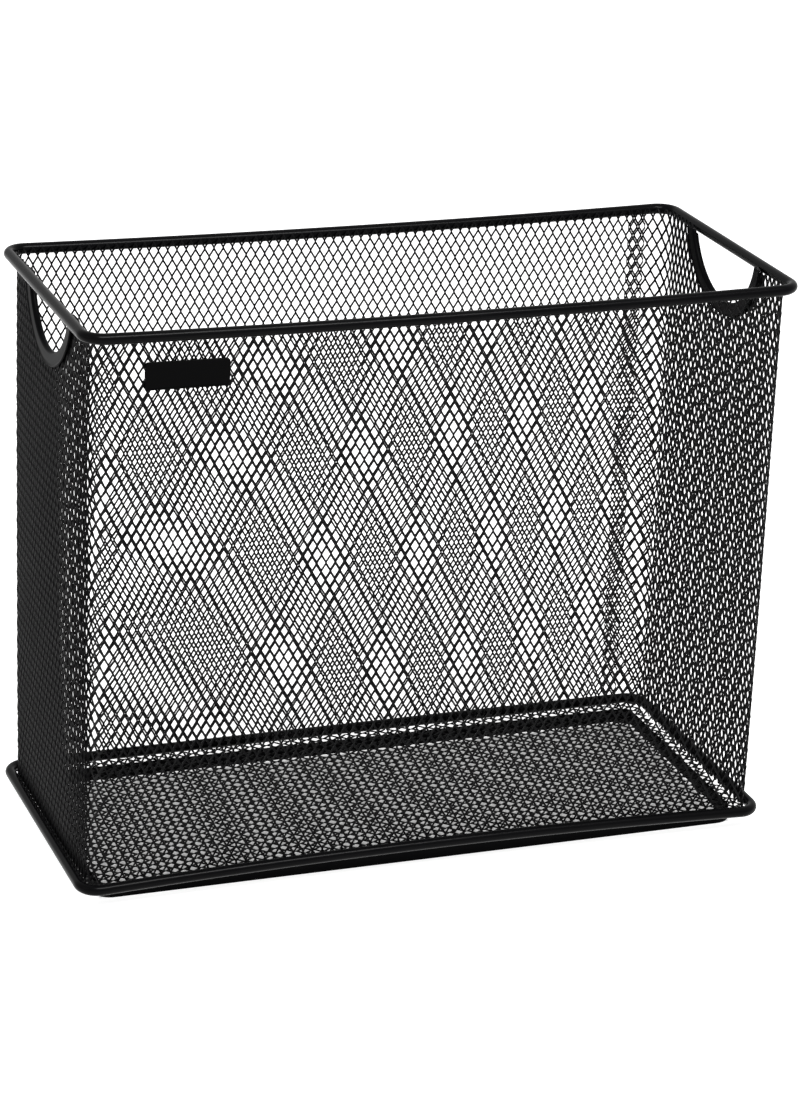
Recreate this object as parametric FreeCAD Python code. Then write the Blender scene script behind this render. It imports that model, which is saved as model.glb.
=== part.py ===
"""Hanging file rack: an open-topped box of expanded steel mesh on a wire frame.

Millimetres, +Z up, +X along the long side, +Y towards the back. The origin is
on the surface the rack stands on, under the middle of the box.
"""
import FreeCAD, Part
import math
import os

from FreeCAD import Vector

# --- Overall size, over the wire rims -------------------------------------
overall_length = 317.5
overall_depth = 139.7
overall_height = 254.0

# --- Wire rims -------------------------------------------------------------
rim_wire = 4.8              # diameter of the wire in both rims
wire_flats = 16             # the round wire is drawn with this many narrow flats
weld_gap = 0.1              # between any two pieces that are welded together
base_rim_height = 8.0       # centre of the lower rim above the table
rim_joint_x = 4.0           # where the two ends of each rim meet, on the back
rim_joint_width = 3.0       # length of the weld that joins them
rim_joint_neck = 0.3        # depth to which the dressed weld is necked

# --- Expanded mesh ---------------------------------------------------------
sheet_depth = 1.0           # thickness of the sheet over its twisted strands
sleeve_corner = 6.0         # outside radius of the four upright folds
mesh_short_way = 30.0       # pitch of the sleeve's diamonds across their short way
mesh_long_way = 56.0        # pitch of the sleeve's diamonds along their long way
strand_width = 4.3
floor_short_way = 26.0      # the same pitches in the floor
floor_long_way = 49.0
floor_strand_width = 3.7
selvedge = 2.4              # unslit border along a cut edge of the sheet
sleeve_above_rim = 1.0      # sheet edge above the centre of the top rim
lap_width = 9.0             # doubled strip where the ends of the sheet overlap
lap_from_end = 11.0         # from the outside of the right end to that strip

# --- Foot frame under the floor -------------------------------------------
foot_height = 6.2
foot_thickness = 1.5
foot_inset = 5.2            # from the outside of the sleeve
foot_corner = 8.0

# --- Hand holes in the two ends -------------------------------------------
hand_hole_width = 62.0      # at the height of the top rim's centre
hand_hole_depth = 23.0      # from the top rim's centre down to the edge
trim_width = 6.4            # of the folded channel that edges the hole
trim_thickness = 0.8
trim_clearance = 0.1        # between the channel and the sheet inside it

# --- Name plate ------------------------------------------------------------
plate_width = 36.0
plate_height = 12.0
plate_thickness = 1.0
plate_corner = 1.5
plate_chamfer = 0.3
plate_from_end = 22.0       # from the outside of the left end to the plate
plate_below_rim = 11.4      # from the top rim's centre to the plate's top

# --- Places that follow from the sizes ------------------------------------
wire_radius = rim_wire / 2
sleeve_length = overall_length - 2 * (rim_wire + weld_gap)
sleeve_depth = overall_depth - 2 * (rim_wire + weld_gap)
rim_offset = weld_gap + wire_radius
top_rim_z = overall_height - wire_radius
sleeve_bottom = foot_height + weld_gap
sleeve_top = top_rim_z + sleeve_above_rim
sleeve_height = sleeve_top - sleeve_bottom

hole_radius = (hand_hole_width ** 2 / 4 + hand_hole_depth ** 2) / (2 * hand_hole_depth)
hole_centre_z = top_rim_z - hand_hole_depth + hole_radius
sheet_hole_radius = hole_radius + trim_thickness + trim_clearance
trim_radius = hole_radius + trim_width


def rectangle(width, height, low_y=0.0):
    """A flat face in the XY plane, centred on X, standing on low_y."""
    plane = Part.makePlane(width, height)
    plane.translate(Vector(-width / 2, low_y, 0))
    return plane


def disc(radius, centre):
    return Part.Face(Part.Wire(Part.makeCircle(radius, centre)))


def wire_section():
    """The section of a rim's wire in the XZ plane, its corners on the wire's circle."""
    turns = [2 * math.pi * step / wire_flats for step in range(wire_flats + 1)]
    return Part.Face(Part.makePolygon([
        Vector(wire_radius * math.cos(turn), 0, wire_radius * math.sin(turn)) for turn in turns
    ]))


def diamond(centre_x, centre_y, half_width, half_height):
    corners = [(half_width, 0), (0, half_height), (-half_width, 0), (0, -half_height)]
    points = [Vector(centre_x + x, centre_y + y, 0) for x, y in corners]
    return Part.Face(Part.makePolygon(points + points[:1]))


def rounded_outline(length, depth, radius):
    """A closed wire in the XY plane: a rectangle with round corners."""
    x, y = length / 2, depth / 2
    turn = radius * (1 - math.sqrt(0.5))
    edges = []
    for side_x, side_y in ((1, -1), (1, 1), (-1, 1), (-1, -1)):
        before = Vector(side_x * (x - radius), side_y * y, 0)
        after = Vector(side_x * x, side_y * (y - radius), 0)
        if side_x * side_y > 0:
            before, after = after, before
        middle = Vector(side_x * (x - turn), side_y * (y - turn), 0)
        edges.append(Part.Arc(before, middle, after).toShape())
    sides = []
    for corner, following in zip(edges, edges[1:] + edges[:1]):
        start = corner.Vertexes[-1].Point
        end = following.Vertexes[0].Point
        sides.append(Part.LineSegment(start, end).toShape())
    return Part.Wire([edge for pair in zip(edges, sides) for edge in pair])


# --- Expanded mesh ---------------------------------------------------------
def diamond_openings(window, width, height, short_way, long_way, strand):
    """The diamond openings of a sheet, cut off where its window ends.

    The columns are spread to a whole number, so a column of strand crossings
    falls on each upright edge and the pattern runs on round the fold.
    """
    columns = max(1, round(width / short_way))
    rows = max(1, round(height / long_way))
    pitch_x = width / columns
    pitch_y = height / rows
    side = math.hypot(pitch_x, pitch_y) / 2
    inner_share = 1 - strand * side / (pitch_x * pitch_y / 2)
    half_width = pitch_x / 2 * inner_share
    half_height = pitch_y / 2 * inner_share
    openings = []
    for row in range(2 * rows + 1):
        for column in range(columns + 1):
            x = (column + row % 2 / 2) * pitch_x - width / 2
            openings.append(diamond(x, row * pitch_y / 2, half_width, half_height))
    return window.common(Part.makeCompound(openings))


def mesh_sheet(width, height, side_edge, end_edge, hole=None, hole_edge=0.0):
    """One flat stretch of mesh, lying on the XY plane, outer face up.

    side_edge and end_edge are the widths of solid strip along its sides and
    ends. hole is the (height, radius) of a round cut-out on its centre line,
    and hole_edge is the solid strip round that.
    """
    outline = rectangle(width, height)
    window = rectangle(width - 2 * side_edge, height - 2 * end_edge, end_edge)
    if hole:
        centre = Vector(0, hole[0], 0)
        outline = outline.cut(disc(hole[1], centre))
        window = window.cut(disc(hole[1] + hole_edge, centre))
    openings = diamond_openings(window, width, height, mesh_short_way, mesh_long_way, strand_width)
    return outline.cut(openings).extrude(Vector(0, 0, sheet_depth))


def stand_up(sheet, quarter_turns, distance):
    """Stand a sheet on its edge with its outer face at distance from the middle.

    No quarter turn faces it to the front, one to the right end.
    """
    upright = sheet.copy()
    upright.rotate(Vector(0, 0, 0), Vector(1, 0, 0), 90)
    upright.translate(Vector(0, sheet_depth - distance, sleeve_bottom))
    upright.rotate(Vector(0, 0, 0), Vector(0, 0, 1), 90 * quarter_turns)
    return upright


def sleeve_sides():
    """The flat front, back and ends of the sheet that is wrapped into a sleeve."""
    half_strand = strand_width / 2
    long_side = mesh_sheet(sleeve_length - 2 * sleeve_corner, sleeve_height, half_strand, selvedge)
    end = mesh_sheet(
        sleeve_depth - 2 * sleeve_corner, sleeve_height, half_strand, selvedge,
        hole=(hole_centre_z - sleeve_bottom, sheet_hole_radius),
        hole_edge=trim_width,
    )
    return {
        "mesh_front": stand_up(long_side, 0, sleeve_depth / 2),
        "mesh_right_end": stand_up(end, 1, sleeve_length / 2),
        "mesh_back": stand_up(long_side, 2, sleeve_depth / 2),
        "mesh_left_end": stand_up(end, 3, sleeve_length / 2),
    }


def sleeve_fold():
    """One upright fold of the sleeve, a quarter ring about the Z axis with slots."""
    inner_radius = sleeve_corner - sheet_depth
    outer = Part.makeCylinder(sleeve_corner, sleeve_height, Vector(), Vector(0, 0, 1), 90)
    fold = outer.cut(Part.makeCylinder(inner_radius, sleeve_height))
    rows = max(1, round(sleeve_height / mesh_long_way))
    pitch = sleeve_height / rows
    chord = math.sqrt(2) * inner_radius
    half_width = (chord - strand_width) / 2
    half_height = pitch / 2 - strand_width
    slots = []
    for row in range(rows):
        slot = diamond(0, 0, half_width, half_height).extrude(Vector(0, 0, 2 * sleeve_corner))
        slot.rotate(Vector(), Vector(1, 0, 0), 90)
        slot.rotate(Vector(), Vector(0, 0, 1), 135)
        slot.translate(Vector(0, 0, (row + 0.5) * pitch))
        slots.append(slot)
    return fold.cut(Part.makeCompound(slots))


def sleeve_folds():
    x = sleeve_length / 2 - sleeve_corner
    y = sleeve_depth / 2 - sleeve_corner
    folds = []
    for quarter, (centre_x, centre_y) in enumerate(((x, y), (-x, y), (-x, -y), (x, -y))):
        fold = sleeve_fold()
        fold.rotate(Vector(), Vector(0, 0, 1), 90 * quarter)
        fold.translate(Vector(centre_x, centre_y, sleeve_bottom))
        folds.append(fold)
    return Part.makeCompound(folds)


def seam_lap():
    """The end of the wrapped sheet, lapped over the inside of the back."""
    strip = mesh_sheet(lap_width, sleeve_height, strand_width / 2, selvedge)
    lap = stand_up(strip, 2, sleeve_depth / 2 - sheet_depth - weld_gap)
    lap.translate(Vector(sleeve_length / 2 - lap_from_end - lap_width / 2, 0, 0))
    return lap


def floor_mesh():
    """The flat floor inside the foot of the sleeve, its corners rounded to fit."""
    shrink = 2 * (sheet_depth + weld_gap)
    length = sleeve_length - shrink
    depth = sleeve_depth - shrink
    corner = sleeve_corner - shrink / 2
    outline = Part.Face(rounded_outline(length, depth, corner))
    outline.translate(Vector(0, depth / 2, 0))
    border = max(floor_strand_width / 2, corner)
    window = rectangle(length - 2 * border, depth - 2 * border, border)
    openings = diamond_openings(
        window, length, depth, floor_short_way, floor_long_way, floor_strand_width,
    )
    sheet = outline.cut(openings)
    sheet.translate(Vector(0, -depth / 2, sleeve_bottom))
    return sheet.extrude(Vector(0, 0, sheet_depth))


# --- Wire rims -------------------------------------------------------------
def wire_rim(height):
    """A rim: one wire bent round the sleeve, its ends apart by the weld's width."""
    bend_x = sleeve_length / 2 - sleeve_corner
    bend_y = sleeve_depth / 2 - sleeve_corner
    bend = sleeve_corner + rim_offset
    section = wire_section()
    section.translate(Vector(bend, 0, 0))
    elbow = section.revolve(Vector(), Vector(0, 0, 1), 90)
    section.rotate(Vector(), Vector(0, 0, 1), 90)
    lengths = []
    for quarter, (x, y, run) in enumerate((
        (bend_x, bend_y, 2 * bend_x), (-bend_x, bend_y, 2 * bend_y),
        (-bend_x, -bend_y, 2 * bend_x), (bend_x, -bend_y, 2 * bend_y),
    )):
        for piece in (elbow.copy(), section.extrude(Vector(-run, 0, 0))):
            piece.rotate(Vector(), Vector(0, 0, 1), 90 * quarter)
            piece.translate(Vector(x, y, height))
            lengths.append(piece)
    ring = lengths[0].multiFuse(lengths[1:])
    bite = Part.makeBox(rim_joint_width, 2 * rim_wire, 2 * rim_wire)
    bite.translate(Vector(rim_joint_x - rim_joint_width / 2, bend_y + bend - rim_wire, height - rim_wire))
    return ring.cut(bite)


def rim_weld(height):
    """The dressed weld that joins the ends of a rim, a little thinner than the wire."""
    start = Vector(rim_joint_x - rim_joint_width / 2, sleeve_depth / 2 + rim_offset, height)
    return Part.makeCylinder(wire_radius - rim_joint_neck, rim_joint_width, start, Vector(1, 0, 0))


# --- Foot frame ------------------------------------------------------------
def foot_frame():
    """A steel strip on edge, bent into a frame under the floor."""
    length = sleeve_length - 2 * foot_inset
    depth = sleeve_depth - 2 * foot_inset
    outside = Part.Face(rounded_outline(length, depth, foot_corner))
    inside = Part.Face(rounded_outline(
        length - 2 * foot_thickness, depth - 2 * foot_thickness, foot_corner - foot_thickness,
    ))
    return outside.cut(inside).extrude(Vector(0, 0, foot_height))


# --- Hand hole trims -------------------------------------------------------
def hand_hole_trim():
    """A channel folded over the cut edge of the right end's hand hole.

    The section is drawn in the XZ plane, X outwards from the outside of the
    sleeve and Z the distance from the middle of the hole, and is revolved
    about X. The channel's outer leg stops under the rim's wire, and its inner
    leg runs up to the edge of the sheet.
    """
    inner_face = -sheet_depth - trim_clearance
    outer_face = trim_clearance
    web_top = hole_radius + trim_thickness
    section = [
        (inner_face - trim_thickness, hole_radius),
        (outer_face + trim_thickness, hole_radius),
        (outer_face + trim_thickness, trim_radius),
        (outer_face, trim_radius),
        (outer_face, web_top),
        (inner_face, web_top),
        (inner_face, trim_radius),
        (inner_face - trim_thickness, trim_radius),
    ]
    points = [Vector(x, 0, z) for x, z in section]
    face = Part.Face(Part.makePolygon(points + points[:1]))
    trim = face.revolve(Vector(), Vector(1, 0, 0), 360)
    span = 3 * trim_radius
    above_sheet = Part.makeBox(span, span, span)
    above_sheet.translate(Vector(-span / 2, -span / 2, sleeve_top - hole_centre_z))
    under_wire = Part.makeBox(span, span, span)
    wire_underside = top_rim_z - wire_radius - weld_gap
    under_wire.translate(Vector(0, -span / 2, wire_underside - hole_centre_z))
    trim = trim.cut(Part.makeCompound([above_sheet, under_wire]))
    trim.translate(Vector(sleeve_length / 2, 0, hole_centre_z))
    return trim


# --- Name plate ------------------------------------------------------------
def name_plate():
    """A blank plate with eased edges, fixed on the front of the sleeve."""
    outline = Part.Face(rounded_outline(plate_width, plate_height, plate_corner))
    plate = outline.extrude(Vector(0, 0, plate_thickness))
    front_edges = [edge for edge in plate.Edges if edge.BoundBox.ZMin > plate_thickness / 2]
    plate = plate.makeChamfer(plate_chamfer, front_edges)
    plate.rotate(Vector(), Vector(1, 0, 0), 90)
    centre_x = plate_from_end + plate_width / 2 - sleeve_length / 2
    centre_z = top_rim_z - plate_below_rim - plate_height / 2
    plate.translate(Vector(centre_x, -sleeve_depth / 2 - weld_gap, centre_z))
    return plate


def build():
    """Every piece of the rack by its name."""
    pieces = sleeve_sides()
    pieces["mesh_corners"] = sleeve_folds()
    pieces["seam_lap"] = seam_lap()
    pieces["floor_mesh"] = floor_mesh()
    pieces["foot_frame"] = foot_frame()
    pieces["name_plate"] = name_plate()
    for name, height in (("top_rim", top_rim_z), ("base_rim", base_rim_height)):
        pieces[name] = wire_rim(height)
        pieces[name + "_weld"] = rim_weld(height)
    right_trim = hand_hole_trim()
    left_trim = right_trim.copy()
    left_trim.rotate(Vector(), Vector(0, 0, 1), 180)
    pieces["hand_hole_trim_right"] = right_trim
    pieces["hand_hole_trim_left"] = left_trim
    return pieces


os.makedirs("parts", exist_ok=True)
for piece_name, shape in build().items():
    shape.exportStep("parts/" + piece_name + ".step")
    box = shape.BoundBox
    print(f"{piece_name:22s} solids {len(shape.Solids)} valid {shape.isValid()} "
          f"volume {shape.Volume:9.1f} z {box.ZMin:.2f} to {box.ZMax:.2f}")
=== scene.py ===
import math

import bmesh
import bpy
import numpy as np
from mathutils import Matrix, Vector


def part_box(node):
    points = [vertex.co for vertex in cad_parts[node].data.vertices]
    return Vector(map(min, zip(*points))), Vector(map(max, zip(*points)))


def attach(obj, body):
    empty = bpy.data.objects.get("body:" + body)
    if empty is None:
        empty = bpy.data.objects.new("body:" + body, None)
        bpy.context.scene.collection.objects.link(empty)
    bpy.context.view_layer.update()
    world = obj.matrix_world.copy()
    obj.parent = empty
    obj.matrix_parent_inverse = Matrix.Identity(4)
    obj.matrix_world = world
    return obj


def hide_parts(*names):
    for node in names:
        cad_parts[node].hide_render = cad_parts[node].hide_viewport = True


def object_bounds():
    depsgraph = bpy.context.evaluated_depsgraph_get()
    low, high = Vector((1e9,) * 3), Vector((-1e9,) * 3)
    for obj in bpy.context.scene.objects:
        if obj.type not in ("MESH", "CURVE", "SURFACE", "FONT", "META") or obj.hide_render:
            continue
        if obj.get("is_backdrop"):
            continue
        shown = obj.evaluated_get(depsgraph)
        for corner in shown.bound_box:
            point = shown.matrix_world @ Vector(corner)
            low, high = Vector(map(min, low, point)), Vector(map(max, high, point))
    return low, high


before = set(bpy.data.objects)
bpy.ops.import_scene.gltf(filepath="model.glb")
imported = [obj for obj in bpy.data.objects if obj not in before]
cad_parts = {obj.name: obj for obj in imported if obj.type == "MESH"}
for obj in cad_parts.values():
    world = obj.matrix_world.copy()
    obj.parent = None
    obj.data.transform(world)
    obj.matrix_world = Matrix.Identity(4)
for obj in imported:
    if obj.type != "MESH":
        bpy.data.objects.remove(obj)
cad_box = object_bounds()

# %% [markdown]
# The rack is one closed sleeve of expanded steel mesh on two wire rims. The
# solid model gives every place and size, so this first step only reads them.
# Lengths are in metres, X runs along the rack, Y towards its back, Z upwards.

MM = 0.001
rim_low, rim_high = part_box("top_rim")
base_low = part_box("base_rim")[0]
front_low, front_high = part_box("mesh_front")
end_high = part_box("mesh_right_end")[1]
floor_low, floor_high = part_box("floor_mesh")
foot_low, foot_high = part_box("foot_frame")

wire = rim_high.z - rim_low.z
top_rim_z = rim_high.z - wire / 2
base_rim_z = base_low.z + wire / 2
sheet_depth = front_high.y - front_low.y
half_length = end_high.x                  # outside of the sleeve
half_depth = -front_low.y
fold_slack = 2.5 * MM                     # the sheet bends this much wider than its rims
fold_radius = end_high.x - front_high.x + fold_slack
sleeve_bottom, sleeve_top = front_low.z, front_high.z
print(f"wire {wire/MM:.1f} mm, sleeve {2*half_length/MM:.1f} by {2*half_depth/MM:.1f} mm,",
      f"{sleeve_bottom/MM:.1f} to {sleeve_top/MM:.1f} mm high")

# %% [markdown]
# The rack is made by hand, and its long wires aren't quite straight. The top
# ones sag a little under the weld heat, and the front one at the base bows
# upwards. The two ends belly out a little between the rims. The same rule
# moves the points of every piece, so wires and mesh stay together.

# %% How the long sides are bowed
top_sag = 1.5 * MM
base_arch = 3.4 * MM
end_bulge = 2.2 * MM
strip_y = -foot_low.y


def bowed(points):
    """Points of the straight rack, moved to where the bowed sides carry them."""
    x, y, z = points.T
    middle = np.clip(1 - (x / half_length) ** 2, 0, 1)
    height = np.clip((z - base_rim_z) / (top_rim_z - base_rim_z), 0, 1)
    flange = np.clip((-y - strip_y) / (half_depth - strip_y), 0, 1)
    lift = base_arch * middle * flange * (1 - height) - top_sag * middle * height
    between = np.clip(1 - (y / half_depth) ** 2, 0, 1) * 4 * height * (1 - height)
    outward = end_bulge * between * (x / half_length) ** 5
    return np.column_stack([x + outward, y, z + lift])


print("long sides:", top_sag / MM, "mm down at the top,", base_arch / MM, "mm up at the front base")

# %% [markdown]
# Materials and geometry trees are both built from nodes. One class wraps a
# socket so that a sum of numbers can be written as plain arithmetic, and one
# method adds any other node with its settings and its inputs.

# %% A small way of writing node trees
def arithmetic(operation, swapped=False):
    """A method of Term that adds the math node for one operation."""
    def method(self, other):
        first, second = (other, self) if swapped else (self, other)
        return self.math(operation, first, second)
    return method


class Term:
    """The output of a node, which can be used in arithmetic."""

    def __init__(self, sheet, socket):
        self.sheet, self.socket = sheet, socket

    def out(self, name):
        return Term(self.sheet, self.socket.node.outputs[name])

    def math(self, operation, *values):
        return self.sheet.add("ShaderNodeMath", {"operation": operation}, dict(enumerate(values)))

    def __abs__(self):
        return self.math("ABSOLUTE", self)

    __add__ = arithmetic("ADD")
    __radd__ = arithmetic("ADD", swapped=True)
    __sub__ = arithmetic("SUBTRACT")
    __rsub__ = arithmetic("SUBTRACT", swapped=True)
    __mul__ = arithmetic("MULTIPLY")
    __rmul__ = arithmetic("MULTIPLY", swapped=True)
    __truediv__ = arithmetic("DIVIDE")
    __pow__ = arithmetic("POWER")
    __lt__ = arithmetic("LESS_THAN")
    __gt__ = arithmetic("GREATER_THAN")


class NodeSheet:
    """A node tree, with one method that adds a node."""

    def __init__(self, tree):
        self.tree = tree

    def add(self, kind, settings=None, inputs=None):
        node = self.tree.nodes.new(kind)
        for name, value in (settings or {}).items():
            setattr(node, name, value)
        for key, value in (inputs or {}).items():
            for one in value if isinstance(value, list) else [value]:
                self.put(node.inputs[key], one)
        shown = [socket for socket in node.outputs if socket.enabled]
        return Term(self, shown[0]) if shown else node

    def put(self, socket, value):
        if isinstance(value, Term):
            self.tree.links.new(value.socket, socket)
        else:
            socket.default_value = value


print("node writing ready")

# %% [markdown]
# A piece is grown by running a geometry tree once and keeping the mesh. It is
# then seated: it rides on the rack and stands for solids.

# %% Grow pieces and seat them
def geometry_tree(name, inputs):
    """A geometry tree with named inputs, and those inputs as terms."""
    tree = bpy.data.node_groups.new(name, "GeometryNodeTree")
    face = tree.interface
    face.new_socket("Geometry", in_out="INPUT", socket_type="NodeSocketGeometry")
    face.new_socket("Geometry", in_out="OUTPUT", socket_type="NodeSocketGeometry")
    for title, kind in inputs.items():
        face.new_socket(title, in_out="INPUT", socket_type="NodeSocket" + kind)
    sheet = NodeSheet(tree)
    entry = sheet.add("NodeGroupInput")
    given = {title: entry.out(title) for title in ["Geometry", *inputs]}
    return sheet, given


def finish_tree(sheet, geometry, material, smooth=True):
    """Ends a tree: real geometry, shading and the material."""
    real = sheet.add("GeometryNodeRealizeInstances", {}, {"Geometry": geometry})
    shaded = sheet.add("GeometryNodeSetShadeSmooth", {}, {"Geometry": real, "Shade Smooth": smooth})
    painted = sheet.add("GeometryNodeSetMaterial", {}, {"Geometry": shaded, "Material": material})
    sheet.add("NodeGroupOutput", {}, {"Geometry": painted})
    print("tree", sheet.tree.name, "has", len(sheet.tree.nodes), "nodes")
    return sheet.tree


def in_scene(name, data):
    """A new object that shows this mesh, lamp or lens."""
    shown = bpy.data.objects.new(name, data)
    bpy.context.scene.collection.objects.link(shown)
    return shown


def grow(name, tree, start_mesh=None, **sizes):
    """Runs a geometry tree with these sizes and returns its result as a plain mesh object."""
    seed = in_scene(name + "_seed", start_mesh or bpy.data.meshes.new(name + "_seed"))
    modifier = seed.modifiers.new("grow", "NODES")
    modifier.node_group = tree
    wanted = {title.replace("_", " "): value for title, value in sizes.items()}
    for item in tree.interface.items_tree:
        if item.item_type == "SOCKET" and item.in_out == "INPUT" and item.name in wanted:
            modifier[item.identifier] = wanted.pop(item.name)
    assert not wanted, wanted
    graph = bpy.context.evaluated_depsgraph_get()
    mesh = bpy.data.meshes.new_from_object(seed.evaluated_get(graph))
    bpy.data.objects.remove(seed)
    mesh.name = name
    return in_scene(name, mesh)


def reshape(piece, rule):
    """Moves a piece's points by a rule that takes and gives an array of them."""
    count = len(piece.data.vertices)
    points = np.empty(count * 3, np.float32)
    piece.data.vertices.foreach_get("co", points)
    moved = rule(points.reshape(-1, 3).astype(float))
    piece.data.vertices.foreach_set("co", moved.astype(np.float32).ravel())
    piece.data.update()
    return piece


def seat(piece, slot, *nodes):
    """The piece rides on the rack and stands for its solids; the slot is not used."""
    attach(piece, "root")
    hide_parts(*nodes)
    piece.data.calc_loop_triangles()
    print(f"{piece.name}: {len(piece.data.loop_triangles)} triangles")
    return piece


def closed_mesh(shape, name, material, is_smooth=lambda face: True):
    """Ends a hand-built shape: normals outwards, shading, material and object."""
    bmesh.ops.recalc_face_normals(shape, faces=shape.faces)
    for face in shape.faces:
        face.smooth = is_smooth(face)
    mesh = bpy.data.meshes.new(name)
    shape.to_mesh(mesh)
    shape.free()
    mesh.materials.append(material)
    return in_scene(name, mesh)


print("growing and seating ready")

# %% [markdown]
# Expanded metal starts as a flat sheet with rows of short slits. Pulled apart,
# each slit opens into a diamond, and the strands between them twist a little
# out of the sheet. The pattern is regular, so one opening with half of each
# strand round it is drawn here, and a tree repeats it over the whole sheet.
# The twist lies in the depths: one side of an opening stands proud, the other
# lies deep.

# %% One opening of the mesh
fold_middle = fold_radius - sheet_depth / 2          # radius of the folds at mid-thickness
round_length = 4 * (half_length + half_depth - 2 * fold_radius) + 2 * math.pi * fold_middle
columns = 201                                        # openings round the sleeve
half_rows = 66                                       # enough for its height, with some to spare
short_way = round_length / columns
long_way = 8.16 * MM
bond_length = 0.45 * MM
bond_width = 0.96 * MM
strand_width = 0.86 * MM
strand_thickness = 0.34 * MM
twist = 0.26 * MM


def one_opening():
    """Six flat quads round a hexagonal hole; their outer edges run along the strands' middles."""
    half, tip = short_way / 2, (long_way - bond_length) / 2
    rise = long_way / 2 - bond_length
    outer = [(-half, -bond_length / 2), (0, -tip), (half, -bond_length / 2),
             (half, bond_length / 2), (0, tip), (-half, bond_length / 2)]
    inner_tip = tip - strand_width / 2 * math.hypot(half, rise) / half
    inner_half = half - bond_width / 2
    inner_side = inner_tip - inner_half / half * rise
    inner = [(-inner_half, -inner_side), (0, -inner_tip), (inner_half, -inner_side),
             (inner_half, inner_side), (0, inner_tip), (-inner_half, inner_side)]
    points = [(x, y, 0) for x, y in outer] + [(x, y, twist * x / inner_half) for x, y in inner]
    faces = [(i, (i + 1) % 6, 6 + (i + 1) % 6, 6 + i) for i in range(6)]
    mesh = bpy.data.meshes.new("one_opening")
    mesh.from_pydata(points, [], faces)
    return mesh


opening_mesh = one_opening()
print(f"openings every {short_way/MM:.2f} by {long_way/MM:.2f} mm, {columns} round the sleeve")

# %% [markdown]
# A first tree lays the openings out like bricks, each row half a step over,
# and merges them into one flat sheet without thickness.

# %% The tree that lays openings out
def position_of(sheet):
    """The three coordinates of each point, as terms."""
    place = sheet.add("GeometryNodeInputPosition")
    split = sheet.add("ShaderNodeSeparateXYZ", {}, {"Vector": place})
    return split.out("X"), split.out("Y"), split.out("Z")


def point_at(sheet, x, y, z):
    return sheet.add("ShaderNodeCombineXYZ", {}, {"X": x, "Y": y, "Z": z})


def moved_to(sheet, geometry, x, y, z):
    place = point_at(sheet, x, y, z)
    return sheet.add("GeometryNodeSetPosition", {}, {"Geometry": geometry, "Position": place})


def raised(sheet, geometry, level):
    rise = point_at(sheet, 0, 0, level)
    return sheet.add("GeometryNodeTransform", {}, {"Geometry": geometry, "Translation": rise})


sheet, given = geometry_tree("laid_openings", {
    "Columns": "Int", "Half rows": "Int", "Short way": "Float", "Long way": "Float",
    "Start": "Float", "Foot": "Float", "Material": "Material"})
half_row = given["Long way"] / 2
width = (given["Columns"] - 1) * given["Short way"]
height = (given["Half rows"] - 1) * half_row
grid = sheet.add("GeometryNodeMeshGrid", {}, {
    "Size X": width, "Size Y": height, "Vertices X": given["Columns"], "Vertices Y": given["Half rows"]})
x, y, z = position_of(sheet)
row = (y + height / 2) / half_row
odd = row.math("FLOORED_MODULO", row.math("ROUND", row), 2)
bricks = moved_to(sheet, grid, x + width / 2 + odd * given["Short way"] / 2 + given["Start"],
                  y + height / 2 + given["Foot"], 0)
spread = sheet.add("GeometryNodeInstanceOnPoints", {}, {"Points": bricks, "Instance": given["Geometry"]})
real = sheet.add("GeometryNodeRealizeInstances", {}, {"Geometry": spread})
merged = sheet.add("GeometryNodeMergeByDistance", {}, {"Geometry": real, "Distance": 0.00001})
openings_tree = finish_tree(sheet, merged, given["Material"], smooth=False)

# %% [markdown]
# A second set of nodes cuts that sheet to the stretch wanted, leaves out the
# openings inside a hand hole, and gives it thickness by joining the
# turned-over sheet to an extruded copy. The sleeve and the floor both use it.

# %% Cut the sheet and give it thickness
CUT_INPUTS = {
    "From": "Float", "To": "Float", "Bottom": "Float", "Top": "Float", "Round length": "Float",
    "Hole along": "Float", "Hole height": "Float", "Hole radius": "Float",
    "Left limit": "Float", "Right limit": "Float",
    "Thickness": "Float", "Unevenness": "Float", "Material": "Material",
}


def cut_and_thicken(sheet, given):
    x, y, z = position_of(sheet)
    along = x.math("FLOORED_MODULO", x, given["Round length"])
    across, up = along - given["Hole along"], y - given["Hole height"]
    from_hole = (across * across + up * up) ** 0.5
    outside = ((along < given["From"]) + (along > given["To"]) + (y < given["Bottom"])
               + (y > given["Top"]) + (from_hole < given["Hole radius"]))
    cut = sheet.add("GeometryNodeDeleteGeometry", {"domain": "FACE"},
                    {"Geometry": given["Geometry"], "Selection": outside})
    x, y, z = position_of(sheet)
    level = y.math("MINIMUM", y.math("MAXIMUM", y, given["Bottom"]), given["Top"])
    kept = x.math("MINIMUM", x.math("MAXIMUM", x, given["Left limit"]), given["Right limit"])
    sheared = moved_to(sheet, cut, kept, level, z)

    lifted = sheet.add("GeometryNodeExtrudeMesh", {"mode": "FACES"}, {
        "Mesh": sheared, "Offset": point_at(sheet, 0, 0, given["Thickness"]),
        "Offset Scale": 1.0, "Individual": False})
    turned = sheet.add("GeometryNodeFlipFaces", {}, {"Mesh": sheared})
    both = sheet.add("GeometryNodeJoinGeometry", {}, {"Geometry": [lifted, turned]})
    closed = sheet.add("GeometryNodeMergeByDistance", {}, {"Geometry": both, "Distance": 0.000002})
    return sheet.add("GeometryNodeSetPosition", {}, {
        "Geometry": closed, "Offset": point_at(sheet, 0, 0, given["Thickness"] * -0.5)})


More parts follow.
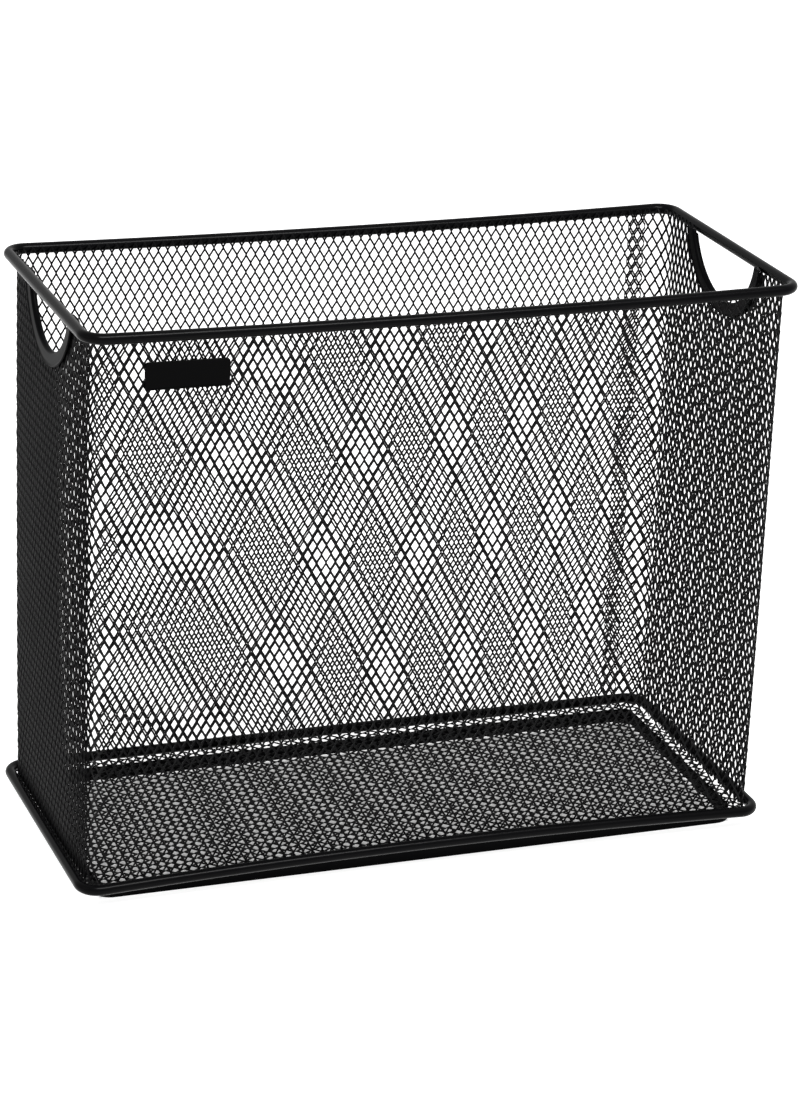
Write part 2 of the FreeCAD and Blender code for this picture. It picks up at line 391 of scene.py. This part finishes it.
def uneven(sheet, geometry, given):
    """Lets the mesh wander by a fraction of a millimetre, as pulled sheet does."""
    noise = sheet.add("ShaderNodeTexNoise", {"noise_dimensions": "3D"}, {"Scale": 14.0, "Detail": 1.0})
    drift = sheet.add("ShaderNodeVectorMath", {"operation": "SUBTRACT"},
                      {0: noise.out("Color"), 1: (0.5, 0.5, 0.5)})
    shift = sheet.add("ShaderNodeVectorMath", {"operation": "SCALE"},
                      {0: drift, "Scale": given["Unevenness"]})
    return sheet.add("GeometryNodeSetPosition", {}, {"Geometry": geometry, "Offset": shift})


print("cutting takes", len(CUT_INPUTS), "inputs")

# %% [markdown]
# The sleeve is that flat sheet wrapped round four folds. A rounded rectangle
# is its path: the distance along the sheet picks a place on the path, and the
# depth goes outwards from it, so the strands turn the folds unbroken.

# %% The tree that wraps the mesh into a sleeve
def rounded_path(sheet, length, depth, bend, step):
    """A rounded rectangle, anticlockwise, starting at the back right bend."""
    corners = sheet.add("GeometryNodeCurvePrimitiveQuadrilateral", {"mode": "RECTANGLE"},
                        {"Width": length, "Height": depth})
    bent = sheet.add("GeometryNodeFilletCurve", {"mode": "POLY"},
                     {"Curve": corners, "Count": 16, "Radius": bend, "Limit Radius": True})
    return sheet.add("GeometryNodeResampleCurve", {"mode": "LENGTH"}, {"Curve": bent, "Length": step})


sheet, given = geometry_tree("mesh_sleeve", {
    **CUT_INPUTS, "Path length": "Float", "Path depth": "Float", "Bend": "Float"})
flat = cut_and_thicken(sheet, given)
x, y, z = position_of(sheet)
share = x.math("FLOORED_MODULO", x, given["Round length"]) / given["Round length"]
path = rounded_path(sheet, given["Path length"], given["Path depth"], given["Bend"], MM)
spot = sheet.add("GeometryNodeSampleCurve",
                 {"mode": "FACTOR", "data_type": "FLOAT_VECTOR", "use_all_curves": True},
                 {"Curves": path, "Factor": share})
outward = sheet.add("ShaderNodeVectorMath", {"operation": "CROSS_PRODUCT"},
                    {0: spot.out("Tangent"), 1: (0, 0, 1)})
unit = sheet.add("ShaderNodeVectorMath", {"operation": "NORMALIZE"}, {0: outward})
depth = sheet.add("ShaderNodeVectorMath", {"operation": "SCALE"}, {0: unit, "Scale": z})
foot = sheet.add("ShaderNodeVectorMath", {"operation": "ADD"}, {0: spot.out("Position"), 1: depth})
stood = sheet.add("ShaderNodeVectorMath", {"operation": "ADD"},
                  {0: foot, 1: point_at(sheet, 0, 0, y)})
wrapped = sheet.add("GeometryNodeSetPosition", {}, {"Geometry": flat, "Position": stood})
sleeve_tree = finish_tree(sheet, uneven(sheet, wrapped, given), given["Material"], smooth=False)

# %% [markdown]
# The floor is a flat piece of the same sheet, laid with the long way of its
# openings along the rack. Its tree turns the flat sheet a quarter.

# %% The tree that lays the floor
sheet, given = geometry_tree("mesh_floor", {**CUT_INPUTS, "Middle": "Float", "Level": "Float"})
flat = cut_and_thicken(sheet, given)
x, y, z = position_of(sheet)
laid = moved_to(sheet, flat, -1 * y, x - given["Middle"], z + given["Level"])
floor_tree = finish_tree(sheet, uneven(sheet, laid, given), given["Material"], smooth=False)

# %% [markdown]
# All the steel is black powder coat: a matt to half-gloss plastic skin with
# the fine ripple of orange peel. The ripple is a bump from a fine noise, and
# a slower noise lets the gloss vary as it does where the powder lies thicker.

# %% Powder coat finishes
def colour(*rgb):
    return (*rgb, 1.0)


patches = 0.021        # gloss patches are this share as frequent as the orange peel


def powder_coat(name, dark, pale, gloss, gloss_change, peel_size, peel_height, shine):
    """Black powder coat. Gloss is a roughness, peel size and height are in metres."""
    material = bpy.data.materials.new(name)
    material.use_nodes = True
    material.node_tree.nodes.clear()
    coat = NodeSheet(material.node_tree)
    place = coat.add("ShaderNodeTexCoord").out("Object")
    slow = coat.add("ShaderNodeTexNoise", {}, {"Vector": place, "Scale": patches / peel_size, "Detail": 3.0})
    peel = coat.add("ShaderNodeTexNoise", {}, {"Vector": place, "Scale": 1 / peel_size, "Detail": 2.0})
    tint = coat.add("ShaderNodeMix", {"data_type": "RGBA"},
                    {"Factor": slow.out("Fac"), 6: colour(*dark), 7: colour(*pale)})
    bump = coat.add("ShaderNodeBump", {},
                    {"Strength": 0.6, "Distance": peel_height, "Height": peel.out("Fac")})
    skin = coat.add("ShaderNodeBsdfPrincipled", {}, {
        "Base Color": tint, "Roughness": gloss + (slow.out("Fac") - 0.5) * gloss_change,
        "Normal": bump, "Specular IOR Level": shine})
    coat.add("ShaderNodeOutputMaterial", {}, {"Surface": skin})
    print(f"{name}: {len(material.node_tree.nodes)} nodes")
    return material


mesh_coat = powder_coat(
    "mesh_powder_coat", (0.0016, 0.0016, 0.0018), (0.0034, 0.0034, 0.0037),
    gloss=0.42, gloss_change=0.16, peel_size=0.5 * MM, peel_height=0.02 * MM, shine=0.05)
wire_coat = powder_coat(
    "wire_powder_coat", (0.0009, 0.0009, 0.0011), (0.0018, 0.0018, 0.0021),
    gloss=0.22, gloss_change=0.10, peel_size=0.7 * MM, peel_height=0.02 * MM, shine=0.04)
trim_coat = powder_coat(
    "trim_powder_coat", (0.0010, 0.0010, 0.0012), (0.0020, 0.0020, 0.0023),
    gloss=0.42, gloss_change=0.12, peel_size=0.6 * MM, peel_height=0.02 * MM, shine=0.02)

# %% [markdown]
# A pulled sheet is never quite even, and this one was wrapped by hand. Where
# front and back are seen one through the other, their rows beat against each
# other in large diamonds, and an unevenness of a third of an opening moves
# those. So the sheet is laid flat once, and a rule slides its openings along
# and up by a few millimetres before it is cut and wrapped. The slide is steady
# round the folds and changes evenly along the ends.

# %% Lay the sheet flat and let its openings drift
back_run = 2 * (half_length - fold_radius)
end_run = 2 * (half_depth - fold_radius)
fold_run = math.pi / 2 * fold_middle
starts = np.cumsum([0, fold_run, back_run, fold_run, end_run, fold_run, back_run, fold_run, end_run])
back_centre, front_centre = starts[1] + back_run / 2, starts[5] + back_run / 2
fold_reach = 0.45          # the loose fold's own drift fades over this share of the front
fold_slide, fold_rise = 0.33, 1.4


def drifted(points):
    """Flat sheet: along and up, in metres. The amounts in here are millimetres."""
    along, up = points[:, 0], points[:, 1]
    z = (up - (sleeve_bottom + sleeve_top) / 2) / ((sleeve_top - sleeve_bottom) / 2)
    slide = np.interp(along, starts, [0.45, 0.45, -0.35, -0.35, 2.7, 2.7, 2.7, 2.7, 0.45])
    rise = np.interp(along, starts, [-0.2, -0.2, 0.1, 0.1, 0.9, 0.9, 2.4, 2.4, -0.2])
    x = np.clip((along - front_centre) / (back_run / 2), -1, 1)
    slide += (1 - x * x) * (-2.0 + 5.3 * x + 5.8 * x * x * z - 3.3 * x * z * z)
    rise += (1 - x * x) * (0.7 - 2.7 * x - 2.4 * x * x)
    by_left_fold = np.interp(along, [starts[3], starts[5], starts[5] + fold_reach * back_run], [0, 1, 0])
    slide -= fold_slide * by_left_fold
    rise += fold_rise * by_left_fold * (0.5 + 0.5 * z) ** 3
    x = np.clip((back_centre - along) / (back_run / 2), -1, 1)
    slide -= (1 - x * x) * (2.8 * x - 1.0 * z - 1.5 * x * z)
    rise += (1 - x * x) * (0.7 + 1.1 * x * z - 0.9 * z * z)
    return np.column_stack([along + slide * MM, up + rise * MM, points[:, 2]])


sleeve_pattern = dict(Columns=columns, Half_rows=half_rows, Short_way=short_way, Long_way=long_way,
                      Start=math.fmod(front_centre, short_way), Foot=0.0, Material=mesh_coat)
sleeve_sheet = reshape(grow("sleeve_sheet", openings_tree, opening_mesh, **sleeve_pattern), drifted)
print(f"flat sheet: {len(sleeve_sheet.data.polygons)} faces before it is cut")

# %% [markdown]
# The sleeve is grown in stretches: front, back, the two ends and the four
# folds. All are cut from the one flat sheet, so they meet strand to strand.
# The ends leave out the openings behind the hand holes. Two opposite folds
# were bent less sharply, and spring open between the rims that hold them.

# %% Grow the sleeve
trim_low, trim_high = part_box("hand_hole_trim_right")
trim_reach = trim_high.z - trim_low.z
trim_radius = (trim_high.y ** 2 + trim_reach ** 2) / (2 * trim_reach)
hole_lowered = 1.2 * MM            # how far the dressed hole is set below the solid one
hole_z = trim_low.z + trim_radius - hole_lowered
trim_width = 6.4 * MM
hole_radius = trim_radius - trim_width
print(f"hand holes: radius {hole_radius/MM:.1f} mm round a point {hole_z/MM:.1f} mm up")

soft_front, soft_end = 16 * MM, 46 * MM      # how far a loose fold reaches along front and end
roundness = 2.4                              # 2 is an ellipse, more is squarer


def softened(points):
    """Between the rims two opposite folds relax to a wider bend, and the other two stay tight."""
    x, y, z = points.T
    height = np.clip((z - base_rim_z) / (top_rim_z - base_rim_z), 0, 1)
    a = np.maximum((np.abs(x) - half_length) / soft_front + 1, 1e-6)
    b = np.maximum((np.abs(y) - half_depth) / soft_end + 1, 1e-6)
    pull = 1 - np.maximum(a, b) / (a ** roundness + b ** roundness) ** (1 / roundness)
    pull *= np.sqrt(4 * height * (1 - height)) * (x * y > 0)
    inward, backward = np.sign(x) * a * pull * soft_front, np.sign(y) * b * pull * soft_end
    return np.column_stack([x - inward, y - backward, z])


NO_LIMIT = 10.0                              # metres, past any end of a sheet
cut_sizes = dict(Bottom=sleeve_bottom, Top=sleeve_top, Round_length=round_length, Left_limit=-1.0,
                 Right_limit=NO_LIMIT, Thickness=strand_thickness, Unevenness=0.3 * MM, Material=mesh_coat)
path_sizes = dict(Path_length=2 * half_length - sheet_depth, Path_depth=2 * half_depth - sheet_depth,
                  Bend=fold_middle)


def sleeve_stretch(name, first, last, hole_along=0.0, hole_cut=0.0):
    piece = grow(name, sleeve_tree, sleeve_sheet.data.copy(), From=first, To=last, **cut_sizes, **path_sizes,
                 Hole_along=hole_along, Hole_height=hole_z, Hole_radius=hole_cut)
    return reshape(reshape(piece, softened), bowed)


def joined(name, pieces):
    """Several mesh objects as one."""
    whole = bmesh.new()
    for piece in pieces:
        whole.from_mesh(piece.data)
        bpy.data.objects.remove(piece)
    mesh = bpy.data.meshes.new(name)
    whole.to_mesh(mesh)
    whole.free()
    mesh.materials.append(mesh_coat)
    return in_scene(name, mesh)


def end_stretch(name, first, last):
    """A short side, without the openings that its hand hole takes away."""
    under_trim = 3 * MM                      # the raw edge hides this far inside the channel
    return sleeve_stretch(name, first, last, (first + last) / 2, hole_radius + under_trim)


seat(sleeve_stretch("sleeve_back", starts[1], starts[2]), "black_mesh", "mesh_back")
seat(end_stretch("sleeve_left_end", starts[3], starts[4]), "black_mesh", "mesh_left_end")
seat(sleeve_stretch("sleeve_front", starts[5], starts[6]), "black_mesh", "mesh_front")
seat(end_stretch("sleeve_right_end", starts[7], starts[8]), "black_mesh", "mesh_right_end")
folds = [sleeve_stretch("fold", starts[i], starts[i + 1]) for i in (0, 2, 4, 6)]
seat(joined("sleeve_folds", folds), "black_mesh", "mesh_corners")

# %% [markdown]
# Where the sheet's two ends meet, one laps over the inside of the other on
# the back. The lap is two openings wide and was laid by hand, so it isn't
# quite upright, and its strands fall between those of the back.

# %% The lapped seam
lap_low, lap_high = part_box("seam_lap")
lap_middle = starts[1] + (half_length - fold_radius - (lap_low.x + lap_high.x) / 2)
lap_gap = 0.1 * MM
off_upright = 0.5 * MM


def shifted(points):
    """Half an opening along and a little up, so that the strands of the lap fall between."""
    return points + np.array([0.5 * short_way, 0.04 * long_way, 0])


def laid_inside(points):
    """One sheet inside the back, wandering to both sides in slow waves up the seam."""
    x, y, z = points.T
    wander = off_upright * np.sin(z * 31 + 0.6)
    return bowed(np.column_stack([x + wander, y - sheet_depth - lap_gap, z]))


reshape(sleeve_sheet, shifted)
lap = grow("seam", sleeve_tree, sleeve_sheet.data.copy(), From=lap_middle - short_way,
           To=lap_middle + short_way, **cut_sizes, **path_sizes,
           Hole_along=0.0, Hole_height=0.0, Hole_radius=0.0)
seat(reshape(lap, laid_inside), "black_mesh", "seam_lap")
bpy.data.objects.remove(sleeve_sheet)

# %% [markdown]
# The floor lies on the foot frame inside the sleeve. Its openings run along
# the rack, a few degrees askew, because the piece was cut that way. Its flange
# outside the frame lifts with the bowed front.

# %% Grow the floor
floor_length, floor_depth = floor_high.x - floor_low.x, floor_high.y - floor_low.y
askew = math.radians(-3.5)
wider, tighter = 1.10, 0.973          # this piece was pulled a little further than the sleeve
laid_at = 1.0                         # the flat floor lies round this X, clear of the sheet's start
floor_thickness = 0.60 * MM
spare_columns, spare_rows = 8, 9      # what the askew cut needs beyond the floor's own size


def cut_askew(points):
    """The flat sheet stretched, and turned about the middle of the floor."""
    across, along = (points[:, 0] - laid_at) * wider, points[:, 1] * tighter
    turned_across = across * math.cos(askew) - along * math.sin(askew)
    turned_along = across * math.sin(askew) + along * math.cos(askew)
    return np.column_stack([laid_at + turned_across, turned_along, points[:, 2]])


floor_columns = math.ceil(floor_depth / short_way) + spare_columns
floor_rows = math.ceil(2 * floor_length / long_way) + spare_rows
front_side, back_side = laid_at - floor_depth / 2, laid_at + floor_depth / 2
floor_sheet = grow("floor_sheet", openings_tree, opening_mesh, **{
    **sleeve_pattern, "Columns": floor_columns, "Half_rows": floor_rows,
    "Start": laid_at - (floor_columns - 1) * short_way / 2, "Foot": -(floor_rows - 1) * long_way / 4})
floor_mesh = grow("floor_mesh_sheet", floor_tree, reshape(floor_sheet, cut_askew).data.copy(), **{
    **cut_sizes, "From": front_side, "To": back_side, "Left_limit": front_side, "Right_limit": back_side,
    "Bottom": floor_low.x, "Top": floor_high.x, "Thickness": floor_thickness,
    "Round_length": NO_LIMIT, "Hole_along": NO_LIMIT / 2, "Hole_height": 0.0, "Hole_radius": 0.0,
    "Middle": laid_at, "Level": (floor_low.z + floor_high.z) / 2})
bpy.data.objects.remove(floor_sheet)
seat(reshape(floor_mesh, bowed), "black_mesh", "floor_mesh")

# %% [markdown]
# Each rim is one thick wire bent round the sleeve and joined at the back by
# a weld that was dressed smooth. A wire is a path with a round section, so a
# tree sweeps a circle along the same rounded rectangle, and the path's own
# radius dips at the weld.

# %% The tree that bends a wire rim
sheet, given = geometry_tree("wire_rim", {
    "Length": "Float", "Depth": "Float", "Bend": "Float", "Wire": "Float", "Level": "Float",
    "Joint place": "Float", "Joint length": "Float", "Joint neck": "Float", "Material": "Material"})
path = rounded_path(sheet, given["Length"], given["Depth"], given["Bend"], 0.8 * MM)
x, y, z = position_of(sheet)
near = 1 - abs(x - given["Joint place"]) / (given["Joint length"] / 2)
necked = 1 - (near > 0) * (y > 0) * given["Joint neck"]
thinned = sheet.add("GeometryNodeSetCurveRadius", {}, {"Curve": path, "Radius": necked})
section = sheet.add("GeometryNodeCurvePrimitiveCircle", {"mode": "RADIUS"},
                    {"Resolution": 24, "Radius": given["Wire"] / 2})
swept = sheet.add("GeometryNodeCurveToMesh", {}, {"Curve": thinned, "Profile Curve": section})
rim_tree = finish_tree(sheet, raised(sheet, swept, given["Level"]), given["Material"])

joint_low, joint_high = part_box("top_rim_weld")
for name, nodes, level in (("top_rim_wire", ("top_rim", "top_rim_weld"), top_rim_z),
                           ("base_rim_wire", ("base_rim", "base_rim_weld"), base_rim_z)):
    rim = grow(name, rim_tree, Length=2 * rim_high.x - wire, Depth=2 * rim_high.y - wire,
               Bend=rim_high.x - wire / 2 - front_high.x, Wire=wire, Level=level,
               Joint_place=(joint_low.x + joint_high.x) / 2, Joint_length=joint_high.x - joint_low.x,
               Joint_neck=0.08, Material=wire_coat)
    seat(reshape(rim, bowed), "black_wire", *nodes)

# %% [markdown]
# Under the floor stands a strip of steel on edge, bent into a frame. It
# carries the rack and lifts the mesh off the table. The same path with an
# upright strip as its section makes it, with eased edges.

# %% The tree that bends the foot frame
foot_thickness, foot_corner = 1.5 * MM, 8 * MM
eased_share = 0.2                     # of the strip's thickness, on its edges
sheet, given = geometry_tree("foot_strip", {
    "Length": "Float", "Depth": "Float", "Bend": "Float", "Thickness": "Float", "Height": "Float",
    "Level": "Float", "Material": "Material"})
path = rounded_path(sheet, given["Length"], given["Depth"], given["Bend"], 1.5 * MM)
strip = sheet.add("GeometryNodeCurvePrimitiveQuadrilateral", {"mode": "RECTANGLE"},
                  {"Width": given["Thickness"], "Height": given["Height"]})
eased = sheet.add("GeometryNodeFilletCurve", {"mode": "POLY"},
                  {"Curve": strip, "Count": 3, "Radius": given["Thickness"] * eased_share})
upright = sheet.add("GeometryNodeSetCurveNormal", {"mode": "Z_UP"}, {"Curve": path})
swept = sheet.add("GeometryNodeCurveToMesh", {}, {"Curve": upright, "Profile Curve": eased})
foot_tree = finish_tree(sheet, raised(sheet, swept, given["Level"]), given["Material"])
foot = grow("foot_frame_strip", foot_tree, Length=2 * foot_high.x - foot_thickness,
            Depth=2 * foot_high.y - foot_thickness, Bend=foot_corner - foot_thickness / 2,
            Thickness=foot_thickness, Height=foot_high.z - foot_low.z,
            Level=(foot_low.z + foot_high.z) / 2, Material=trim_coat)
seat(foot, "black_trim", "foot_frame")
print("foot strip spans", [round(v / MM, 2) for v in foot.dimensions])

# %% [markdown]
# Each hand hole's raw edge is covered by a steel channel, folded over it from
# both sides. Its section is a U with slightly flared lips. It is swept round
# the hole's arc; the inner leg runs up to the sheet's edge, the outer leg
# stops under the rim's wire, so each point of the section has its own sweep.

# %% The section of the channel
trim_thickness, trim_gap = 0.8 * MM, 0.1 * MM
outer_leg = trim_gap + trim_thickness / 2
inner_leg = -sheet_depth - trim_gap - trim_thickness / 2
channel_middle = (outer_leg + inner_leg) / 2
web_depth = 0.75           # of a half circle, so the fold is a little flat


def trim_middle_line():
    """The U of the channel as (out, round) points, from the inner lip to the outer one."""
    turn = (outer_leg - inner_leg) / 2
    web = hole_radius + trim_thickness / 2
    bend = [(channel_middle - turn * math.cos(t), web + web_depth * turn * (1 - math.sin(t)))
            for t in np.linspace(0, math.pi, 13)]
    lip = [(0.0, 2.0), (0.0, 1.3), (0.05, 0.9), (0.22, 0.5), (0.42, 0.25)]
    inner = [(inner_leg - out * MM, trim_radius - back * MM) for out, back in reversed(lip)]
    outer = [(outer_leg + out * MM, trim_radius - back * MM) for out, back in lip]
    return np.array(inner + bend + outer)


print("channel section has", len(trim_middle_line()), "points along its middle")

# %% [markdown]
# The section is offset to both sides of its middle line and turned about the
# hole's centre in small steps. Each point turns as far as its own leg goes.

# %% Fold the trims over the hand holes
wire_underside = top_rim_z - wire / 2 - trim_gap
inner_leg_top = sleeve_top - 1.2 * MM


def swept_trim(name, side):
    """One channel, on the right end (side 1) or the left end (side -1)."""
    line = trim_middle_line()
    along = np.gradient(line, axis=0)
    normal = np.column_stack([-along[:, 1], along[:, 0]]) / np.linalg.norm(along, axis=1)[:, None]
    ring = np.concatenate([line + normal * trim_thickness / 2, (line - normal * trim_thickness / 2)[::-1]])
    ends = np.where(ring[:, 0] > channel_middle, wire_underside, inner_leg_top)
    reach = np.arccos(np.clip((hole_z - ends) / ring[:, 1], -1, 1))
    mesh = bmesh.new()
    steps = 72
    rows = []
    for turn in np.linspace(-1, 1, steps + 1):
        rows.append([mesh.verts.new((side * (half_length + out), side * radius * math.sin(turn * most),
                                     hole_z - radius * math.cos(turn * most)))
                     for (out, radius), most in zip(ring, reach)])
    count = len(ring)
    for row, following in zip(rows, rows[1:]):
        for i in range(count):
            j = (i + 1) % count
            mesh.faces.new((row[i], row[j], following[j], following[i]))
    for row in (rows[0], rows[-1]):
        for i in range(count // 2 - 1):
            mesh.faces.new((row[i], row[i + 1], row[count - 2 - i], row[count - 1 - i]))
    return closed_mesh(mesh, name, trim_coat)


for end, side in (("right", 1), ("left", -1)):
    channel = swept_trim("hand_hole_channel_" + end, side)
    seat(reshape(channel, bowed), "black_trim", "hand_hole_trim_" + end)

# %% [markdown]
# The small plate on the front is left blank. It is a glossy black tag with
# round corners and a softly eased rim, built as rings of the same rounded
# outline that step in towards the face.

# %% The blank name plate
def rounded_ring(width, height, radius, steps=6):
    corners = [(1, 1, 0), (-1, 1, 90), (-1, -1, 180), (1, -1, 270)]
    ring = []
    for sx, sz, start in corners:
        for step in range(steps + 1):
            turn = math.radians(start + 90 * step / steps)
            ring.append((sx * (width / 2 - radius) + radius * math.cos(turn),
                         sz * (height / 2 - radius) + radius * math.sin(turn)))
    return ring


gloss_black = powder_coat(
    "plate_gloss_black", (0.0006, 0.0006, 0.0007), (0.0012, 0.0012, 0.0013),
    gloss=0.12, gloss_change=0.04, peel_size=3.0 * MM, peel_height=0.01 * MM, shine=0.02)
plate_low, plate_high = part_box("name_plate")
plate_size = plate_high - plate_low
plate_middle = (plate_low + plate_high) / 2
tag = bmesh.new()
rings = []
corner, least_corner = 1.5, 0.35       # millimetres
rim_steps = ((0.0, 0.0), (0.65, 0.0), (0.85, 0.06), (0.96, 0.2), (1.0, 0.45), (0.97, 0.8), (0.9, 1.1))
for depth, inset in rim_steps:         # share of the thickness, and millimetres in from the edge
    radius = max(corner - inset, least_corner) * MM
    outline = rounded_ring(plate_size.x - 2 * inset * MM, plate_size.z - 2 * inset * MM, radius)
    y = plate_high.y - depth * plate_size.y
    rings.append([tag.verts.new((plate_middle.x + x, y, plate_middle.z + z)) for x, z in outline])
for ring, following in zip(rings, rings[1:]):
    for i in range(len(ring)):
        j = (i + 1) % len(ring)
        tag.faces.new((ring[i], ring[j], following[j], following[i]))
tag.faces.new(rings[0])
tag.faces.new(rings[-1])
plate = closed_mesh(tag, "name_plate_blank", gloss_black, lambda face: len(face.verts) == 4)
seat(reshape(plate, bowed), "plate", "name_plate")

# %% [markdown]
# The rack stands on a white studio floor. The floor has a glow of its own, so
# that it reads white in the open. Under the rack the glow is held back, a painted
# shadow on top of the real one. Near the foot it stays a little low, a faint
# painted shade that comes back to full over half a metre round the foot.

# %% The studio floor
def seen_directly(sheet):
    """One for what the camera sees, straight, mirrored or through glass."""
    ray = sheet.add("ShaderNodeLightPath")
    return ray.out("Is Camera Ray") + ray.out("Is Glossy Ray") + ray.out("Is Transmission Ray")


floor_white = bpy.data.materials.new("studio_floor")
floor_white.use_nodes = True
floor_white.node_tree.nodes.clear()
paint = NodeSheet(floor_white.node_tree)
diffuse = paint.add("ShaderNodeBsdfDiffuse", {}, {"Color": colour(0.72, 0.72, 0.72)})
place = paint.add("ShaderNodeSeparateXYZ", {}, {0: paint.add("ShaderNodeTexCoord").out("Object")})
beside, before = abs(place.out("X")) - foot_high.x, abs(place.out("Y")) - foot_high.y
clear = beside.math("MAXIMUM", beside, before)


def painted_shade_ramp(first, last, low):
    """A glow that rises from low to full between two distances from the foot's edge; its low end is painted
    shade.
    """
    return paint.add("ShaderNodeMapRange", {"interpolation_type": "SMOOTHSTEP"}, {
        "Value": clear, "From Min": first, "From Max": last, "To Min": low, "To Max": 1.0}).out("Result")


# Painted shadow: the glow drops to 0.15 under the rack. Near the foot it is held to 0.88, a faint painted
# shade that fades out over half a metre.
glow_with_painted_shadow = painted_shade_ramp(first=-0.004, last=0.0, low=0.15) * painted_shade_ramp(first=0.0, last=0.5, low=0.88)
glow = paint.add("ShaderNodeEmission", {}, {"Color": colour(1, 1, 1), "Strength": glow_with_painted_shadow})
seen = paint.add("ShaderNodeAddShader", {}, {0: diffuse, 1: glow})
mixed = paint.add("ShaderNodeMixShader", {}, {0: seen_directly(paint), 1: diffuse, 2: seen})
paint.add("ShaderNodeOutputMaterial", {}, {"Surface": mixed})

bpy.ops.mesh.primitive_plane_add(size=12, location=(0, 0, -0.0002))
studio_floor = bpy.context.object
studio_floor.name = "studio_floor"
studio_floor.data.materials.append(floor_white)
studio_floor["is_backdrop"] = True
print("floor dark within", [round(v / MM) for v in foot_high.xy], "mm of the middle")

# %% [markdown]
# The surroundings are white where they are seen, directly or mirrored in the
# wires. As a lamp they shine less, so the inside of the rack stays dark.

# %% White surroundings
scene = bpy.context.scene
world = bpy.data.worlds.new("studio")
world.use_nodes = True
world.node_tree.nodes.clear()
scene.world = world
air = NodeSheet(world.node_tree)
as_lamp = 0.4
level = seen_directly(air) * (1 - as_lamp) + as_lamp
background = air.add("ShaderNodeBackground", {},
                     {"Color": colour(1, 1, 1), "Strength": level.math("MINIMUM", level, 1.0)})
air.add("ShaderNodeOutputWorld", {}, {"Surface": background})
print("surroundings shine at", as_lamp, "of what they show")

# %% [markdown]
# Two soft boxes light it: a large one above and in front, which draws the
# long highlights on the wires, and a weak one at the left for the end wall.

# %% Lamps
def soft_box(name, place, aim, width, height, power):
    lamp = bpy.data.lights.new(name, "AREA")
    lamp.shape, lamp.size, lamp.size_y, lamp.energy = "RECTANGLE", width, height, power
    box = in_scene(name, lamp)
    box.location = place
    box.rotation_euler = (Vector(aim) - Vector(place)).to_track_quat("-Z", "Y").to_euler()


soft_box("overhead", (0.0, -0.9, 1.5), (0, 0, 0.2), 1.2, 0.40, 42)
soft_box("left_side", (-1.5, -0.3, 0.8), (0, 0, 0.12), 0.6, 0.6, 0.7)
scene.view_settings.view_transform = "Standard"
print("lamps placed")

# %% [markdown]
# The camera stands in front and a little to the left, looking down on the
# rack, with a long lens and a slight tilt of the frame.

# %% Camera
azimuth, elevation, roll = math.radians(-19.5127), math.radians(20.6399), math.radians(1.8082)
distance, aside, above = 1.554822, 0.025878, 0.000954
right = Vector((math.cos(azimuth), math.sin(azimuth), 0))
level_back = Vector((math.sin(azimuth), -math.cos(azimuth), 0))
back = level_back * math.cos(elevation) + Vector((0, 0, math.sin(elevation)))
up = right.cross(-back)
tilted_right = math.cos(roll) * right + math.sin(roll) * up
tilted_up = math.cos(roll) * up - math.sin(roll) * right
target = Vector((0, 0, 0.125))
lens = bpy.data.cameras.new("camera")
lens.lens, lens.sensor_width, lens.shift_x = 115.889, 36, 0.06387
camera = in_scene("camera", lens)
stand = Matrix.Translation(target + back * distance - tilted_right * aside - tilted_up * above)
camera.matrix_world = stand @ Matrix((tilted_right, tilted_up, back)).transposed().to_4x4()
scene.camera = camera
print("camera at", [round(v, 3) for v in camera.location])

# %% [markdown]
# Last, the size of the finished model is written beside that of the solids,
# to compare the two.

# %% Write the sizes and finish
dressed_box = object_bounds()
for title, box in (("solids", cad_box), ("dressed", dressed_box)):
    print(title, [[round(c / MM, 1) for c in corner] for corner in box], "mm")
